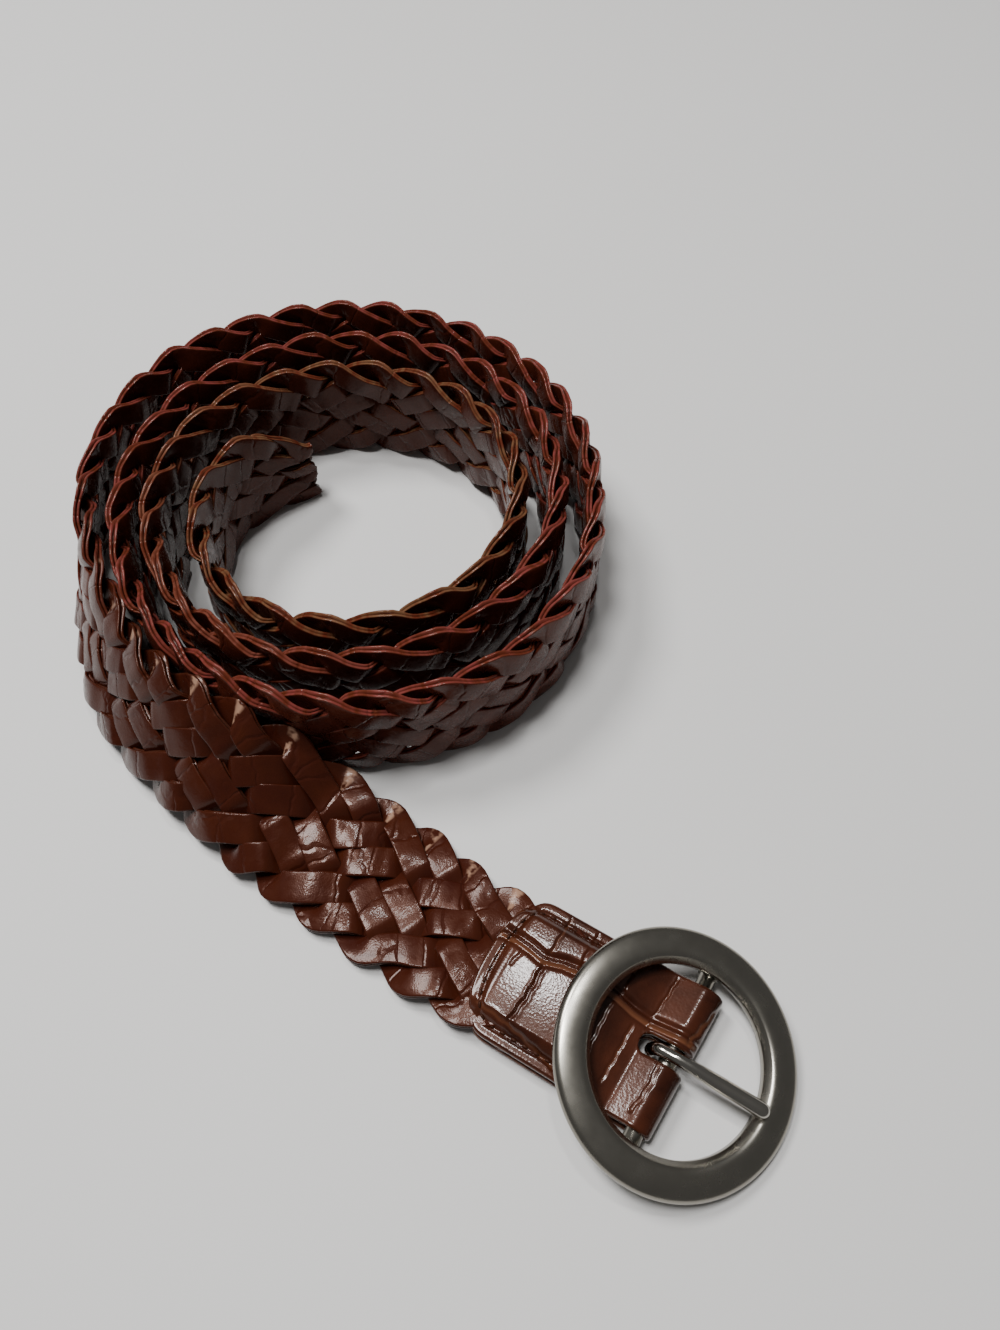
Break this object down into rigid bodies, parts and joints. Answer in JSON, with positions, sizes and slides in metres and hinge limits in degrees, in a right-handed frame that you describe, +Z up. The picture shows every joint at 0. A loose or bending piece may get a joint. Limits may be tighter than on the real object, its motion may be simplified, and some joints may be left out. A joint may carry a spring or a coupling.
{
  "type": "braided belt",
  "caption": "Flat braided leather belt rolled up on edge, its buckle end laid flat: scalloped braid, folded embossed tab, round ring buckle with centre bar and prong",
  "frame": {"origin": "On the surface that the belt lies on, under the middle of its bounding box", "axes": "+X along the buckle end, from the coil towards the ring; +Y across it, towards the coil; +Z up"},
  "size_m": [0.2366, 0.1754, 0.0332],
  "materials": {
    "braid_leather": "glossy cut strips",
    "tab_leather": "glossy, embossed in large scales",
    "satin_nickel": "satin",
    "polished_nickel": "polished"
  },
  "bodies": {
    "belt": {"braid_inner_turn": "braid_leather", "braid_middle_turn": "braid_leather", "braid_outer_turn": "braid_leather", "braid_front_run": "braid_leather", "buckle_tab": "tab_leather"},
    "buckle": {"buckle_ring": "satin_nickel"},
    "prong": {"buckle_prong": "polished_nickel"}
  },
  "joints": [
    {"name": "buckle_pivot", "type": "hinge", "parent": "belt", "child": "buckle", "pos_m": [0.09115, -0.06099, 0.00425], "axis": [0, 1, 0], "range_deg": [0, 150]},
    {"name": "prong_pivot", "type": "hinge", "parent": "buckle", "child": "prong", "pos_m": [0.09115, -0.06099, 0.00425], "axis": [0, -1, 0], "range_deg": [0, 105]}
  ]
}
